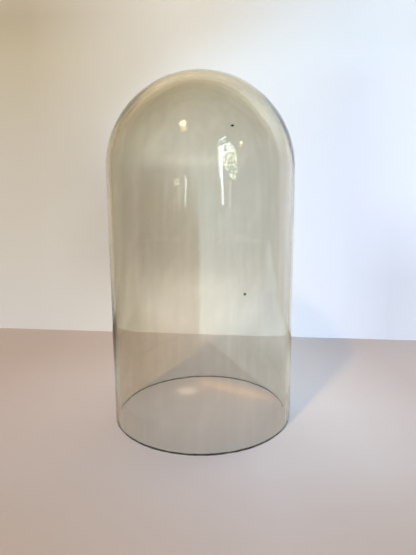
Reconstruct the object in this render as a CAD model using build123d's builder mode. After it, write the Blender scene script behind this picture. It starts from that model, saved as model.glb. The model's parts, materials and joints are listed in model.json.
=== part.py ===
from build123d import *
import os

# Bell jar dome: one blown glass shell, open at the bottom, that covers an object on display.
# Units are millimetres. +Z runs up the dome's axis. The origin is the centre of the rim, on the plane
# that the dome stands on.

# Driving dimensions
outer_diameter = 180.0
overall_height = 333.0
wall_thickness = 3.6  # of the straight wall
crown_thickness = 5.0  # at the top, where the blown glass stays thicker
rim_arris = 0.5  # flat ground on both edges of the cut rim, across and up

# Sizes that follow from them
outer_radius = outer_diameter / 2
inner_radius = outer_radius - wall_thickness
outer_shoulder = overall_height - outer_radius  # height where the straight wall turns into the crown
inner_top = overall_height - crown_thickness
inner_shoulder = inner_top - inner_radius

os.makedirs("parts", exist_ok=True)

# The shell: half its section, on the XZ plane, turned once about the axis. Both faces are a straight line
# and a tangent quarter circle. The inner circle sits lower than the outer one, so the wall thickens
# evenly from the shoulder to the crown.
with BuildPart() as glass_dome:
    with BuildSketch(Plane.XZ) as half_section:
        with BuildLine():
            outer_wall = Line((outer_radius, 0), (outer_radius, outer_shoulder))
            outer_crown = RadiusArc(outer_wall @ 1, (0, overall_height), -outer_radius)
            axis_at_crown = Line(outer_crown @ 1, (0, inner_top))
            inner_crown = RadiusArc(axis_at_crown @ 1, (inner_radius, inner_shoulder), inner_radius)
            inner_wall = Line(inner_crown @ 1, (inner_radius, 0))
            cut_rim = Line(inner_wall @ 1, outer_wall @ 0)
        make_face()
    revolve(axis=Axis.Z)
    rim_edges = glass_dome.edges().filter_by(GeomType.CIRCLE).group_by(Axis.Z)[0]
    chamfer(rim_edges, length=rim_arris)

glass_dome.part.label = "glass_dome"
export_step(glass_dome.part, "parts/glass_dome.step")
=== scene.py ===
import json
import math

import bmesh
import bpy
from mathutils import Matrix, Vector, noise


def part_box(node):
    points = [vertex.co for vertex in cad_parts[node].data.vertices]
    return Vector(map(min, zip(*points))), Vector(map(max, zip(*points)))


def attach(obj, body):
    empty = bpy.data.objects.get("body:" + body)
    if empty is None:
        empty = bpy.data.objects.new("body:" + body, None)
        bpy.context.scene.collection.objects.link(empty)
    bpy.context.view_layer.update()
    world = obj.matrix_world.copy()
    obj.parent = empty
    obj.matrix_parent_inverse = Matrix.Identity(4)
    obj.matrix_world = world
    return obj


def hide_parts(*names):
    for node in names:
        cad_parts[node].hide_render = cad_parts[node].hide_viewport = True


# A bell jar dome of clear blown glass, standing on its cut rim on a pale table.
# Metres, +Z up the dome's axis, origin at the centre of the rim.

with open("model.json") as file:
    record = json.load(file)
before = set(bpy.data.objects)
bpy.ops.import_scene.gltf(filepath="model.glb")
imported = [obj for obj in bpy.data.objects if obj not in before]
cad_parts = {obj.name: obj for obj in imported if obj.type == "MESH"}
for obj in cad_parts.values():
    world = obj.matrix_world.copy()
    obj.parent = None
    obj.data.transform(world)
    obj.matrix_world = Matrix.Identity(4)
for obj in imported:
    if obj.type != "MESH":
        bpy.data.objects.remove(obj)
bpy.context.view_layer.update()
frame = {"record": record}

# ---- Sizes that come from the frame -----------------------------------------------------------------
mounts = {mount["name"]: mount for mount in frame["record"]["mounts"]}
OUTER_RADIUS = mounts["rim_outside"]["dims"]["r_mm"] / 1000
INNER_RADIUS = mounts["mouth"]["dims"]["r_mm"] / 1000
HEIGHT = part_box("glass_dome")[1].z
WALL_THICKNESS = OUTER_RADIUS - INNER_RADIUS
CROWN_THICKNESS = 0.005  # of the glass at the top
SHOULDER = HEIGHT - OUTER_RADIUS  # height where the straight wall turns into the crown
THICKENING = math.radians(50)  # how far up the crown the wall goes on thickening

# ---- How the glass was blown and cut ----------------------------------------------------------------
SEGMENTS = 256  # round the dome
WALL_ROWS = 56  # up the straight wall
CROWN_ROWS = 48  # from the shoulder to the pole
OUTER_WAVE = 0.00006  # height of the slow waves in the outer face
INNER_WAVE = 0.00018  # and in the inner face, which the tool never touched
CORD_WIDTH, CORD_STRETCH = 0.022, 0.12  # of the upright cords, and how little they change with height
ROLL_WIDTH = 0.060  # of the slow roll in the faces
CORD_SHARE, ROLL_SHARE = 0.6, 0.8  # how much of a face's waves each one makes
RIM_ARRIS = 0.00050  # mean width of the ground flat along each edge of the rim
RIM_CHIP, CHIP_WIDTH = 0.00036, 0.045  # how much that width wanders, and over how many radians
RIM_BAND = 0.00026  # height of the frosted band over each flat
CLEAR, CUT = 0, 1  # the shell's materials

# ---- Camera, as the photograph was taken ------------------------------------------------------------
CAMERA_DISTANCE = 0.4166  # from the dome's axis
CAMERA_HEIGHT = 0.2016
CAMERA_PITCH = math.radians(8.5)  # looking down
CAMERA_YAW = math.radians(0.86)  # turned right of the axis
CAMERA_ROLL = math.radians(-0.46)
LENS = 27.05  # mm, on a 36 mm long side

# ---- Stage ------------------------------------------------------------------------------------------
STAGE_HALF = 3.0  # the stage reaches this far to each side and to the front, and the backdrop this far up
WALL_DISTANCE = 0.277  # of the backdrop, behind the axis
WALL_SLANT = 0.15  # the backdrop comes this much nearer for every metre to the right
WALL_FOOT = 0.01  # the backdrop starts this far under the rim
FLOOR_GAP = 0.0001  # the cloth lies this far under the rim
GLARE_START = 0.13  # the mirrored glare of the table starts this far from the axis
RING_STEPS, BULB_STEPS = 48, 24  # corners round the glare and round a bulb

# The window and the lamps, as azimuth and elevation from the front of the dome's shoulder
WINDOW_DISTANCE = 1.6  # of the bright shapes that the glass mirrors
LAMP_DISTANCE = 1.5  # of the hidden lights that cast the dome's shadows
LAMP_IMAGE = (-25.5, 48.0)
SMALL_LAMP_IMAGE = (50.4, 25.5)
HIDDEN_LAMP = (-33.0, 51.0)
HIDDEN_WINDOW, WINDOW_ELEVATIONS = 24.5, (2, 7, 12, 17, 22)  # its azimuth, and how high its lights stand


# ---- The glass --------------------------------------------------------------------------------------
def add_object(name, data):
    made = bpy.data.objects.new(name, data)
    bpy.context.collection.objects.link(made)
    return made


def mesh_object(name, mesh):
    """An object from a finished bmesh."""
    data = bpy.data.meshes.new(name)
    mesh.to_mesh(data)
    mesh.free()
    return add_object(name, data)


def direction(azimuth, elevation):
    """The unit vector that way from the dome: azimuth 0 is towards the camera, 90 is to its right."""
    a, e = math.radians(azimuth), math.radians(elevation)
    return Vector((math.sin(a) * math.cos(e), -math.cos(a) * math.cos(e), math.sin(e)))


def wave(point, scale, seed):
    """Smooth noise from about -1 to 1. The seed moves it to another part of the noise."""
    return noise.noise(Vector(point) / scale + Vector((seed, 3.1 * seed, 1.7 * seed)))


def blown_offset(angle, height, radius, size, seed):
    """How far a blown face stands off its true circle: long upright cords, and a slow roll."""
    x, y = radius * math.cos(angle), radius * math.sin(angle)
    cords = wave((x, y, height * CORD_STRETCH), CORD_WIDTH, seed)
    roll = wave((x, y, height), ROLL_WIDTH, seed + 7.0)
    return size * (CORD_SHARE * cords + ROLL_SHARE * roll)


def crown_depth(tilt):
    """How far the inner face lies under the outer one, at this tilt up the crown."""
    way = min(1.0, tilt / THICKENING)
    return WALL_THICKNESS + (CROWN_THICKNESS - WALL_THICKNESS) * way * way * (3 - 2 * way)


def face_rows(depth, size, seed, arris):
    """Rows of points of one face, from the rim to just under the pole, and the pole. The first row is
    the top of the ground flat and the second the top of the frosted band. depth gives how far the face
    lies under the outer one, and arris the height of the flat."""
    rows = []
    for row in range(WALL_ROWS + CROWN_ROWS):
        tilt = 0.5 * math.pi * max(0, row - WALL_ROWS) / CROWN_ROWS
        fade = math.cos(tilt)  # the waves die out towards the pole
        radius = OUTER_RADIUS - depth(tilt)
        points = []
        for segment in range(SEGMENTS):
            angle = 2 * math.pi * segment / SEGMENTS
            start = arris(angle) + (RIM_BAND if row else 0.0)
            way_up = max(0, min(row, WALL_ROWS) - 1) / (WALL_ROWS - 1)
            height = start + (SHOULDER - start) * way_up
            height_on_face = height + radius * math.sin(tilt)
            bend = radius + blown_offset(angle, height_on_face, radius, size, seed) * fade
            reach = bend * math.cos(tilt)
            points.append((reach * math.cos(angle), reach * math.sin(angle), height + bend * math.sin(tilt)))
        rows.append(points)
    return rows, (0.0, 0.0, HEIGHT - depth(0.5 * math.pi))


def arris_width(seed):
    """The uneven width, across and up, of the flat ground along one edge of the rim."""
    def width(angle):
        fine = wave((math.cos(angle), math.sin(angle), 0.0), CHIP_WIDTH, seed)
        return RIM_ARRIS + RIM_CHIP * fine
    return width


def glass_shell():
    """The dome as one closed mesh: outer face, inner face and the cut rim that joins them."""
    outer_arris, inner_arris = arris_width(seed=11.0), arris_width(seed=23.0)
    outer, outer_pole = face_rows(lambda tilt: 0.0, OUTER_WAVE, seed=2.0, arris=outer_arris)
    inner, inner_pole = face_rows(crown_depth, INNER_WAVE, seed=5.0, arris=inner_arris)
    rim_outer, rim_inner = [], []
    for segment in range(SEGMENTS):
        angle = 2 * math.pi * segment / SEGMENTS
        out_reach = OUTER_RADIUS - outer_arris(angle)
        in_reach = INNER_RADIUS + inner_arris(angle)
        rim_outer.append((out_reach * math.cos(angle), out_reach * math.sin(angle), 0.0))
        rim_inner.append((in_reach * math.cos(angle), in_reach * math.sin(angle), 0.0))

    mesh = bmesh.new()

    def add_row(points):
        return [mesh.verts.new(point) for point in points]

    def join(lower, upper, material):
        for segment in range(SEGMENTS):
            after = (segment + 1) % SEGMENTS
            corners = (lower[segment], lower[after], upper[after], upper[segment])
            mesh.faces.new(corners).material_index = material

    def cap(row, pole):
        top = mesh.verts.new(pole)
        for segment in range(SEGMENTS):
            mesh.faces.new((row[segment], row[(segment + 1) % SEGMENTS], top))

    outer_rows = [add_row(points) for points in outer]
    inner_rows = [add_row(points) for points in inner]
    rim_outer_row, rim_inner_row = add_row(rim_outer), add_row(rim_inner)
    for rows in (outer_rows, inner_rows):
        join(rows[0], rows[1], CUT)
        for lower, upper in zip(rows[1:], rows[2:]):
            join(lower, upper, CLEAR)
    cap(outer_rows[-1], outer_pole)
    cap(inner_rows[-1], inner_pole)
    join(outer_rows[0], rim_outer_row, CUT)
    join(rim_outer_row, rim_inner_row, CUT)
    join(rim_inner_row, inner_rows[0], CUT)
    bmesh.ops.recalc_face_normals(mesh, faces=mesh.faces)
    for face in mesh.faces:
        face.smooth = face.material_index == CLEAR
    return mesh_object("blown_glass", mesh)


def stone(name, azimuth, height, size, seed):
    """A dark grain that melted into the glass, in the middle of the wall's thickness. size is its
    width round the dome, its height and its depth."""
    mesh = bmesh.new()
    bmesh.ops.create_icosphere(mesh, subdivisions=3, radius=0.5)
    for corner in mesh.verts:
        lump = 1.0 + 0.35 * wave(corner.co, 0.45, seed) + 0.12 * wave(corner.co, 0.15, seed)
        corner.co = Vector([part * lump * span for part, span in zip(corner.co, size)])
    above = max(0.0, height - SHOULDER)
    tilt = math.asin(above / (OUTER_RADIUS - 0.5 * WALL_THICKNESS))
    outward = direction(azimuth, math.degrees(tilt))
    radius = OUTER_RADIUS - 0.5 * crown_depth(tilt)
    turn = outward.to_track_quat("Z", "Y").to_matrix().to_4x4()
    place = Matrix.Translation(Vector((0.0, 0.0, min(height, SHOULDER))) + outward * radius)
    bmesh.ops.transform(mesh, matrix=place @ turn, verts=mesh.verts)
    for face in mesh.faces:
        face.smooth = True
    return mesh_object(name, mesh)


# ---- Materials --------------------------------------------------------------------------------------
def new_material(name):
    material = bpy.data.materials.new(name)
    material.use_nodes = True
    return material, material.node_tree.nodes, material.node_tree.links


def noise_texture(nodes, links, stretch, scale, detail=2.0, tilt=0.0):
    """Noise over the object's own coordinates, drawn out by stretch along Z, or along a line that leans
    from Z by tilt degrees."""
    place = nodes.new("ShaderNodeTexCoord")
    shrink = nodes.new("ShaderNodeMapping")
    shrink.vector_type = "TEXTURE"
    shrink.inputs["Rotation"].default_value = (0.0, math.radians(tilt), 0.0)
    shrink.inputs["Scale"].default_value = (1.0, 1.0, stretch)
    links.new(place.outputs["Object"], shrink.inputs["Vector"])
    texture = nodes.new("ShaderNodeTexNoise")
    texture.inputs["Scale"].default_value = scale
    texture.inputs["Detail"].default_value = detail
    links.new(shrink.outputs[0], texture.inputs["Vector"])
    return texture.outputs["Fac"]


def map_range(nodes, links, value, from_low, from_high, to_low, to_high):
    span = nodes.new("ShaderNodeMapRange")
    span.inputs["From Min"].default_value = from_low
    span.inputs["From Max"].default_value = from_high
    span.inputs["To Min"].default_value = to_low
    span.inputs["To Max"].default_value = to_high
    links.new(value, span.inputs["Value"])
    return span.outputs[0]


def bump(nodes, links, height, distance):
    node = nodes.new("ShaderNodeBump")
    node.inputs["Distance"].default_value = distance
    links.new(height, node.inputs["Height"])
    return node.outputs["Normal"]


def ramp(nodes, links, value, stops):
    """A colour that follows a value through (value, colour) stops."""
    low, high = stops[0][0], stops[-1][0]
    span = map_range(nodes, links, value, low, high, 0.0, 1.0)
    colours = nodes.new("ShaderNodeValToRGB")
    elements = colours.color_ramp.elements
    while len(elements) < len(stops):
        elements.new(0.5)
    for element, (stop, colour) in zip(elements, stops):
        element.position = (stop - low) / (high - low)
        element.color = (*colour, 1.0)
    links.new(span, colours.inputs["Fac"])
    return colours.outputs["Color"]


def grey_ramp(nodes, links, value, stops):
    """A grey level that follows a value through (value, level) stops."""
    return ramp(nodes, links, value, [(stop, (level, level, level)) for stop, level in stops])


def calculate(nodes, links, operation, first, second):
    """A Math node. second is a number or another node's output."""
    node = nodes.new("ShaderNodeMath")
    node.operation = operation
    links.new(first, node.inputs[0])
    if isinstance(second, float):
        node.inputs[1].default_value = second
    else:
        links.new(second, node.inputs[1])
    return node.outputs[0]


def mix_colours(nodes, links, blend, factor, first, second):
    mix = nodes.new("ShaderNodeMix")
    mix.data_type = "RGBA"
    mix.blend_type = blend
    if isinstance(factor, float):
        mix.inputs[0].default_value = factor
    else:
        links.new(factor, mix.inputs[0])
    links.new(first, mix.inputs[6])
    links.new(second, mix.inputs[7])
    return mix.outputs[2]


def mix_shaders(nodes, links, factor, first, second):
    """Makes the mix of two shaders the material's surface."""
    mix = nodes.new("ShaderNodeMixShader")
    links.new(factor, mix.inputs["Fac"])
    links.new(first, mix.inputs[1])
    links.new(second, mix.inputs[2])
    links.new(mix.outputs[0], nodes["Material Output"].inputs["Surface"])


def place_in_room(nodes, links):
    """The geometry node, and the parts of a point's position."""
    place = nodes.new("ShaderNodeNewGeometry")
    split = nodes.new("ShaderNodeSeparateXYZ")
    links.new(place.outputs["Position"], split.inputs[0])
    return place, split.outputs


def tinted_volume(nodes, links):
    """The faint olive of old lime glass, deeper where the way through it is longer."""
    volume = nodes.new("ShaderNodeVolumeAbsorption")
    volume.inputs["Color"].default_value = (0.67, 0.58, 0.33, 1.0)
    volume.inputs["Density"].default_value = 100.0
    links.new(volume.outputs[0], nodes["Material Output"].inputs["Volume"])


def clear_glass():
    """Blown glass with fine cords, a few smudges, and a faint film of old drips and wipes."""
    material, nodes, links = new_material("clear_glass")
    shader = nodes["Principled BSDF"]
    shader.inputs["Transmission Weight"].default_value = 1.0
    shader.inputs["IOR"].default_value = 1.52
    haze = [(0.42, (0.955, 0.955, 0.95)), (0.58, (0.975, 0.975, 0.97)), (0.70, (1.0, 1.0, 1.0))]
    drips = noise_texture(nodes, links, stretch=9.0, scale=130.0, detail=4.0)
    wipes = noise_texture(nodes, links, stretch=6.0, scale=60.0, detail=5.0, tilt=35.0)
    film = mix_colours(nodes, links, "MULTIPLY", 1.0,
                       ramp(nodes, links, drips, haze), ramp(nodes, links, wipes, haze))
    links.new(film, shader.inputs["Base Color"])
    smudge = noise_texture(nodes, links, stretch=1.0, scale=45.0, detail=5.0)
    links.new(map_range(nodes, links, smudge, 0.55, 0.8, 0.0, 0.06), shader.inputs["Roughness"])
    cords = noise_texture(nodes, links, stretch=14.0, scale=160.0, detail=1.0)
    links.new(bump(nodes, links, cords, 0.00004), shader.inputs["Normal"])
    tinted_volume(nodes, links)
    return material


def cut_glass():
    """The rim, cut and ground by hand: rough, with patchy painted shade in its colour for the dark line
    along the rim.
    """
    material, nodes, links = new_material("cut_glass")
    shader = nodes["Principled BSDF"]
    grain = noise_texture(nodes, links, stretch=1.0, scale=900.0, detail=3.0)
    patches = noise_texture(nodes, links, stretch=1.0, scale=120.0, detail=4.0)
    # Painted shade: a patchy dark base colour that stands in for the shade of the dark line along the rim
    rim_painted_shade = ramp(nodes, links, patches, [
        (0.3, (0.06, 0.06, 0.05)), (0.46, (0.22, 0.22, 0.18)), (0.58, (0.40, 0.40, 0.33)),
        (0.70, (0.55, 0.55, 0.47))])
    links.new(rim_painted_shade, shader.inputs["Base Color"])
    links.new(map_range(nodes, links, grain, 0.3, 0.7, 0.35, 0.7), shader.inputs["Roughness"])
    links.new(bump(nodes, links, grain, 0.0002), shader.inputs["Normal"])
    return material


def dark_stone():
    """Iron-stained grit: nearly black, reddish where it is thin."""
    material, nodes, links = new_material("dark_stone")
    shader = nodes["Principled BSDF"]
    grit = noise_texture(nodes, links, stretch=1.0, scale=1800.0, detail=3.0)
    stain = ramp(nodes, links, grit, [(0.40, (0.006, 0.005, 0.004)), (0.70, (0.06, 0.018, 0.014))])
    links.new(stain, shader.inputs["Base Color"])
    links.new(map_range(nodes, links, grit, 0.3, 0.7, 0.5, 0.8), shader.inputs["Roughness"])
    links.new(bump(nodes, links, grit, 0.0001), shader.inputs["Normal"])
    return material


def matte(name, colour):
    """A dull paint, whose glow the caller links."""
    material, nodes, links = new_material(name)
    shader = nodes["Principled BSDF"]
    shader.inputs["Base Color"].default_value = (*colour, 1.0)
    shader.inputs["Roughness"].default_value = 0.9
    shader.inputs["Specular IOR Level"].default_value = 0.1
    shader.inputs["Emission Strength"].default_value = 1.0
    return material, nodes, links


def backdrop_painted_light():
    """A backdrop whose glow is painted light: warm on the left, cool on the right, with painted shadows. It
    is seen only from the front, so that a view from behind looks through it."""
    material, nodes, links = matte("backdrop_painted_light", (0.6, 0.6, 0.6))
    place, position = place_in_room(nodes, links)
    x, z = position["X"], position["Z"]
    # Painted light: the glow's colour stands in for warm lamp light on the left and cool window light on the
    # right
    left = ramp(nodes, links, z, [
        (0.0, (0.36, 0.38, 0.38)), (0.19, (0.33, 0.33, 0.30)), (0.34, (0.29, 0.29, 0.25)),
        (0.46, (0.25, 0.24, 0.17)), (0.52, (0.18, 0.17, 0.12)), (0.57, (0.23, 0.22, 0.17)),
        (0.68, (0.60, 0.55, 0.42)), (1.0, (0.75, 0.70, 0.58))])
    middle = ramp(nodes, links, z, [
        (0.0, (0.49, 0.47, 0.45)), (0.20, (0.48, 0.51, 0.52)), (0.34, (0.43, 0.44, 0.42)),
        (0.49, (0.45, 0.47, 0.45)), (0.57, (0.47, 0.49, 0.46)), (0.68, (0.62, 0.60, 0.52)),
        (1.0, (0.78, 0.76, 0.70))])
    right = ramp(nodes, links, z, [
        (0.0, (0.30, 0.30, 0.39)), (0.30, (0.27, 0.29, 0.39)), (0.40, (0.27, 0.28, 0.35)),
        (0.46, (0.31, 0.37, 0.44)), (0.52, (0.44, 0.56, 0.69)), (0.68, (0.60, 0.70, 0.80)),
        (1.0, (0.80, 0.84, 0.86))])
    to_middle = grey_ramp(nodes, links, x, [(-0.28, 0.0), (-0.03, 1.0)])
    to_right = grey_ramp(nodes, links, x, [(0.0, 0.0), (0.24, 1.0)])
    colour = mix_colours(nodes, links, "MIX", to_middle, left, middle)
    colour = mix_colours(nodes, links, "MIX", to_right, colour, right)

    # Dim beyond the view on the left and at the top, and bright beyond it on the right, because the
    # curved edges of the glass bend that into view
    wide = ramp(nodes, links, x, [
        (-1.0, (0.1, 0.1, 0.1)), (-0.50, (0.18, 0.18, 0.18)), (-0.42, (1.0, 1.0, 1.0)),
        (0.22, (1.0, 1.0, 1.0)), (0.33, (1.28, 1.28, 1.26)), (0.45, (1.9, 1.9, 1.8)),
        (0.80, (2.4, 2.4, 2.3)), (0.90, (0.15, 0.15, 0.15))])
    high = grey_ramp(nodes, links, z, [(1.04, 1.0), (1.12, 0.12)])
    colour = mix_colours(nodes, links, "MULTIPLY", 1.0, colour, wide)
    colour = mix_colours(nodes, links, "MULTIPLY", 1.0, colour, high)

    # Painted soft shadows low on both sides of the dome, as darker patches in the glow
    left_shadow = ramp(nodes, links, x, [
        (-0.27, (1.0, 1.0, 1.0)), (-0.18, (0.78, 0.77, 0.75)), (-0.13, (0.68, 0.67, 0.68)),
        (-0.09, (0.80, 0.79, 0.78)), (-0.03, (1.0, 1.0, 1.0))])
    right_shadow = ramp(nodes, links, x, [
        (0.22, (1.0, 1.0, 1.0)), (0.30, (0.56, 0.53, 0.56)), (0.36, (0.56, 0.53, 0.52)),
        (0.46, (1.0, 1.0, 1.0))])
    below_left = grey_ramp(nodes, links, z, [(0.0, 0.0), (0.05, 0.2), (0.13, 1.0), (0.26, 1.0), (0.36, 0.0)])
    below_right = grey_ramp(nodes, links, z, [(0.10, 1.0), (0.24, 0.0)])
    colour = mix_colours(nodes, links, "MULTIPLY", below_left, colour, left_shadow)
    colour = mix_colours(nodes, links, "MULTIPLY", below_right, colour, right_shadow)
    paint = nodes["Principled BSDF"]
    links.new(colour, paint.inputs["Emission Color"])
    clear = nodes.new("ShaderNodeBsdfTransparent")
    mix_shaders(nodes, links, place.outputs["Backfacing"], paint.outputs[0], clear.outputs[0])
    return material


def table_cloth():
    """A pale cloth. Part of its light is its own glow, strongest near the dome and faint on the right."""
    material, nodes, links = matte("table_cloth", (0.66, 0.56, 0.52))
    position = place_in_room(nodes, links)[1]
    glow = ramp(nodes, links, position["X"], [
        (-0.25, (0.137, 0.134, 0.156)), (-0.10, (0.20, 0.21, 0.23)), (0.05, (0.26, 0.30, 0.355)),
        (0.14, (0.18, 0.21, 0.245)), (0.25, (0.045, 0.05, 0.065))])
    near = ramp(nodes, links, position["Y"], [
        (-0.19, (0.66, 0.71, 0.75)), (-0.11, (0.91, 1.0, 1.07)), (0.0, (1.03, 1.04, 1.06)),
        (0.20, (0.75, 0.72, 0.66))])
    glow = mix_colours(nodes, links, "MULTIPLY", 1.0, glow, near)
    links.new(glow, nodes["Principled BSDF"].inputs["Emission Color"])
    return material


# ---- Stage, light and camera ------------------------------------------------------------------------
def stage_shape(name, corners, faces, material):
    """A thin surface around the dome, with one material."""
    data = bpy.data.meshes.new(name)
    data.from_pydata(corners, [], faces)
    data.materials.append(material)
    made = add_object(name, data)
    return made


def soft_light(name, place, facing, width, height, radiance, colour):
    """A flat light that is equally bright all over. facing is the way from what it lights to it."""
    light = bpy.data.lights.new(name, "AREA")
    light.shape = "RECTANGLE"
    light.size = width
    light.size_y = height
    light.energy = radiance * math.pi * width * height
    light.color = colour
    made = add_object(name, light)
    made.location = place
    made.rotation_euler = facing.to_track_quat("Z", "Y").to_euler()
    return made


def away(azimuth, elevation, distance):
    """The place that lies that way, that far off, from the front of the dome's shoulder."""
    return Vector((0.0, -OUTER_RADIUS, SHOULDER)) + direction(azimuth, elevation) * distance


def sash(name, corners, material, distance=WINDOW_DISTANCE):
    """A bright shape, that far off, with these (azimuth, elevation) corners."""
    places = [away(*corner, distance) for corner in corners]
    stage_shape(name, places, [range(len(corners))], material).visible_shadow = False


def bulb(name, middle, half, material, distance=WINDOW_DISTANCE):
    """A round lamp that reaches half degrees to each side of its middle (azimuth, elevation)."""
    azimuth, elevation = middle
    corners = []
    for step in range(BULB_STEPS):
        turn = 2 * math.pi * step / BULB_STEPS
        across = half * math.cos(turn) / math.cos(math.radians(elevation))
        corners.append((azimuth + across, elevation + half * math.sin(turn)))
    sash(name, corners, material, distance)


def glow_paint(name, colour, radiance):
    """Paint for what the glass reflects but the camera doesn't see: it shines on rays that the glass has
    mirrored and no dull surface has scattered, and lets the rest through."""
    material, nodes, links = new_material(name)
    glow = nodes.new("ShaderNodeEmission")
    glow.inputs["Color"].default_value = (*colour, 1.0)
    glow.inputs["Strength"].default_value = radiance
    clear = nodes.new("ShaderNodeBsdfTransparent")
    path = nodes.new("ShaderNodeLightPath")
    mirrored = calculate(nodes, links, "GREATER_THAN", path.outputs["Glossy Depth"], 0.5)
    direct = calculate(nodes, links, "LESS_THAN", path.outputs["Diffuse Depth"], 0.5)
    both = calculate(nodes, links, "MULTIPLY", mirrored, direct)
    mix_shaders(nodes, links, both, clear.outputs[0], glow.outputs[0])
    return material, nodes, links, glow


def leaf_paint(name, colour, radiance, scale, low, high):
    """The broken light of leaves outside the window. It brightens as its noise goes from low to high."""
    material, nodes, links, glow = glow_paint(name, colour, radiance)
    leaves = noise_texture(nodes, links, stretch=0.35, scale=scale, detail=3.0)
    lit = map_range(nodes, links, leaves, low, high, 0.05 * radiance, radiance)
    links.new(lit, glow.inputs["Strength"])
    return material


def table_glare():
    """The bright table that the dome's lower half mirrors: one glow in front of it and another beside it."""
    material, nodes, links, glow = glow_paint("table_glare", (1.0, 1.0, 1.0), 1.0)
    place, position = place_in_room(nodes, links)
    reach = nodes.new("ShaderNodeVectorMath")
    reach.operation = "LENGTH"
    links.new(place.outputs["Position"], reach.inputs[0])
    along = grey_ramp(nodes, links, reach.outputs["Value"], [
        (0.20, 0.6), (0.36, 1.6), (0.43, 1.8), (0.50, 2.5), (0.60, 2.5), (0.72, 1.8), (0.88, 1.1),
        (1.10, 0.7), (1.38, 0.35), (1.90, 0.2), (3.0, 0.13)])
    across = grey_ramp(nodes, links, position["X"], [(-0.9, 0.5), (-0.4, 0.9), (0.0, 1.0), (0.4, 1.2)])
    in_front = mix_colours(nodes, links, "MULTIPLY", 1.0, along, across)
    beside = ramp(nodes, links, position["X"], [
        (-0.3, (0.60, 0.54, 0.46)), (0.0, (0.62, 0.60, 0.56)), (0.25, (0.9, 0.95, 1.0)),
        (0.40, (1.8, 1.95, 2.05)), (0.8, (1.2, 1.3, 1.4))])
    behind = ramp(nodes, links, position["Y"], [(0.08, (1.0, 1.0, 1.0)), (0.22, (0.5, 0.45, 0.4))])
    beside = mix_colours(nodes, links, "MULTIPLY", 1.0, beside, behind)
    to_side = grey_ramp(nodes, links, position["Y"], [(-0.45, 0.0), (-0.10, 1.0)])
    links.new(mix_colours(nodes, links, "MIX", to_side, in_front, beside), glow.inputs["Color"])
    return material


def glare_ring(inner, outer, material):
    """A flat ring just over the table, round the dome."""
    corners, faces = [], []
    for step in range(RING_STEPS):
        turn = 2 * math.pi * step / RING_STEPS
        for radius in (inner, outer):
            corners.append((radius * math.cos(turn), radius * math.sin(turn), FLOOR_GAP))
        here, after = 2 * step, 2 * ((step + 1) % RING_STEPS)
        faces.append((here, here + 1, after + 1, after))
    stage_shape("table_glare", corners, faces, material)


def hide(light):
    """Keeps a light out of the reflections, so that it only lights and casts shadows."""
    light.visible_glossy = False
    light.visible_transmission = False
    light.visible_camera = False


def beam(name, place, target, radius, half_angle, blend, power, colour):
    """A hidden spotlight. radius is the lamp's own, which softens its shadows."""
    light = bpy.data.lights.new(name, "SPOT")
    light.shadow_soft_size = radius
    light.spot_size = math.radians(2 * half_angle)
    light.spot_blend = blend
    light.energy = power
    light.color = colour
    made = add_object(name, light)
    made.location = place
    made.rotation_euler = (place - target).to_track_quat("Z", "Y").to_euler()
    hide(made)


def streak(name, place, turn, length, width, radiance, colour):
    """Light that the curved wall has gathered into a line on the cloth, turned that many degrees round Z."""
    made = soft_light(name, place, Vector((0.0, 0.0, 1.0)), length, width, radiance, colour)
    made.rotation_euler = (0.0, 0.0, math.radians(turn))
    hide(made)


def build_stage():
    left, right, front, top = -STAGE_HALF, STAGE_HALF, -STAGE_HALF, STAGE_HALF
    left_back, right_back = WALL_DISTANCE - WALL_SLANT * left, WALL_DISTANCE - WALL_SLANT * right
    one_face = [(0, 1, 2, 3)]
    stage_shape("floor", [(left, front, -FLOOR_GAP), (right, front, -FLOOR_GAP),
                          (right, right_back, -FLOOR_GAP), (left, left_back, -FLOOR_GAP)],
                one_face, table_cloth())
    stage_shape("backdrop", [(left, left_back, -WALL_FOOT), (right, right_back, -WALL_FOOT),
                             (right, right_back, top), (left, left_back, top)],
                one_face, backdrop_painted_light())


def build_window():
    sky = glow_paint("window_sky", (0.72, 0.90, 1.0), radiance=12.5)[0]
    haze = leaf_paint("window_haze", (0.86, 1.0, 0.88), radiance=11.0, scale=14.0, low=0.33, high=0.55)
    leaves = leaf_paint("window_leaves", (0.82, 1.0, 0.68), radiance=9.5, scale=15.0, low=0.46, high=0.60)
    faint = glow_paint("window_faint", (0.95, 1.0, 0.90), radiance=1.5)[0]
    sash("window_transom", [(21.6, 26.7), (22.4, 28.4), (31.4, 33.2), (33.4, 31.3)], sky)
    sash("window_left", [(20.8, 22.2), (27.5, 24.2), (27.7, 17.1), (26.9, 13.9), (21.1, 13.9)], sky)
    sash("window_top", [(27.5, 24.2), (36.2, 26.8), (38.0, 24.5), (29.9, 23.2), (27.5, 22.9)], sky)
    sash("window_right", [(29.9, 23.2), (38.0, 24.5), (42.3, 19.1), (42.4, 16.4), (31.0, 15.4),
                          (31.0, 18.1)], haze)
    sash("window_sill", [(27.7, 17.1), (30.3, 16.3), (31.0, 16.5), (31.0, 15.0), (26.8, 13.2)], sky)
    sash("window_slit", [(21.1, 13.9), (26.9, 13.9), (25.2, 6.1), (25.2, 4.7), (25.6, 3.6), (26.2, 1.9),
                         (26.4, 0.1), (24.1, 0.1), (24.1, 1.9), (23.1, 3.5), (22.0, 4.7), (21.3, 6.1)], sky)
    sash("window_leaves", [(26.9, 13.0), (32.9, 14.2), (42.2, 15.9), (43.1, 7.8), (43.1, 5.6), (40.9, 3.9),
                           (34.9, 4.4), (31.3, 5.3), (26.2, 6.0)], leaves)
    sash("window_streak", [(32.4, 3.9), (32.3, -0.5), (35.3, -0.5), (36.3, 3.9)], faint)


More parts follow.
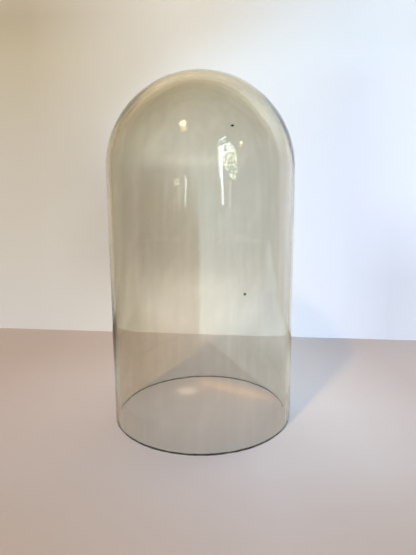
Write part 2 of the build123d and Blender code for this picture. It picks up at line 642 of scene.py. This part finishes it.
def build_lamps():
    warm = glow_paint("lamp_warm", (1.0, 0.80, 0.50), radiance=24.0)[0]
    rim = glow_paint("lamp_rim", (1.0, 0.55, 0.25), radiance=7.0)[0]
    bulb("lamp", LAMP_IMAGE, 2.9, warm)
    bulb("lamp_rim", LAMP_IMAGE, 4.2, rim, 1.01 * WINDOW_DISTANCE)  # just behind the lamp
    bulb("small_lamp", SMALL_LAMP_IMAGE, 1.6, warm)


def build_light():
    build_window()
    build_lamps()
    glare_ring(GLARE_START, STAGE_HALF, table_glare())
    wall_target = Vector((0.18, WALL_DISTANCE, 0.16))
    for step, elevation in enumerate(WINDOW_ELEVATIONS):
        beam(f"window_shade_{step}", away(HIDDEN_WINDOW, elevation, LAMP_DISTANCE), wall_target,
             radius=0.02, half_angle=12.5, blend=0.6, power=19.0, colour=(0.50, 0.765, 1.0))
    hide(soft_light("lamp_shade", away(*HIDDEN_LAMP, LAMP_DISTANCE), direction(*HIDDEN_LAMP),
                    width=0.09, height=0.09, radiance=350.0, colour=(1.0, 0.68, 0.30)))
    hide(soft_light("inner_fill", Vector((0.0, 0.0, 0.20)), Vector((0.0, 0.0, 1.0)),
                    width=0.06, height=0.06, radiance=8.3, colour=(1.0, 0.71, 0.32)))
    streak("bright_arc", Vector((0.035, 0.048, 0.015)), turn=-34.5, length=0.095, width=0.004,
           radiance=3.0, colour=(1.0, 0.50, 0.08))
    streak("bright_spot", Vector((-0.018, 0.046, 0.012)), turn=20.0, length=0.012, width=0.006,
           radiance=4.0, colour=(1.0, 0.90, 0.75))
    build_world()


def build_world():
    """A pale room to look at, and the dim one that mirrored and scattered rays find."""
    world = bpy.data.worlds.new("room")
    world.use_nodes = True
    nodes, links = world.node_tree.nodes, world.node_tree.links
    path = nodes.new("ShaderNodeLightPath")
    bounces = calculate(nodes, links, "ADD", path.outputs["Glossy Depth"], path.outputs["Diffuse Depth"])
    choose = nodes.new("ShaderNodeMix")
    choose.data_type = "RGBA"
    links.new(map_range(nodes, links, bounces, 0.0, 1.0, 0.0, 1.0), choose.inputs[0])
    choose.inputs[6].default_value = (0.55, 0.54, 0.52, 1.0)
    choose.inputs[7].default_value = (0.13, 0.12, 0.11, 1.0)
    links.new(choose.outputs[2], nodes["Background"].inputs["Color"])
    bpy.context.scene.world = world


def build_camera():
    camera = add_object("camera", bpy.data.cameras.new("camera"))
    camera.data.lens = LENS
    turn = Matrix.Rotation(-CAMERA_YAW, 4, "Z")
    tip = Matrix.Rotation(math.pi / 2 - CAMERA_PITCH, 4, "X")
    roll = Matrix.Rotation(CAMERA_ROLL, 4, "Z")
    place = Matrix.Translation((0.0, -CAMERA_DISTANCE, CAMERA_HEIGHT))
    camera.matrix_world = place @ turn @ tip @ roll
    bpy.context.scene.camera = camera


def set_look():
    """Plain colours, and enough bounces for rays that pass through the glass or are mirrored in it."""
    scene = bpy.context.scene
    scene.view_settings.view_transform = "Standard"
    scene.cycles.max_bounces = 24
    scene.cycles.transmission_bounces = 24
    scene.cycles.glossy_bounces = 12
    scene.cycles.sample_clamp_indirect = 6.0


# ---- The whole scene --------------------------------------------------------------------------------
shell = glass_shell()
shell.data.materials.append(clear_glass())
shell.data.materials.append(cut_glass())
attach(shell, "root")
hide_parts("glass_dome")

grit = dark_stone()
for made in (stone("stone_in_crown", azimuth=17.0, height=0.2698, size=(0.0024, 0.0017, 0.0012), seed=3.0),
             stone("stone_in_wall", azimuth=23.2, height=0.1374, size=(0.0021, 0.0023, 0.0015), seed=8.0)):
    made.data.materials.append(grit)
    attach(made, "root")

build_stage()
build_light()
build_camera()
set_look()
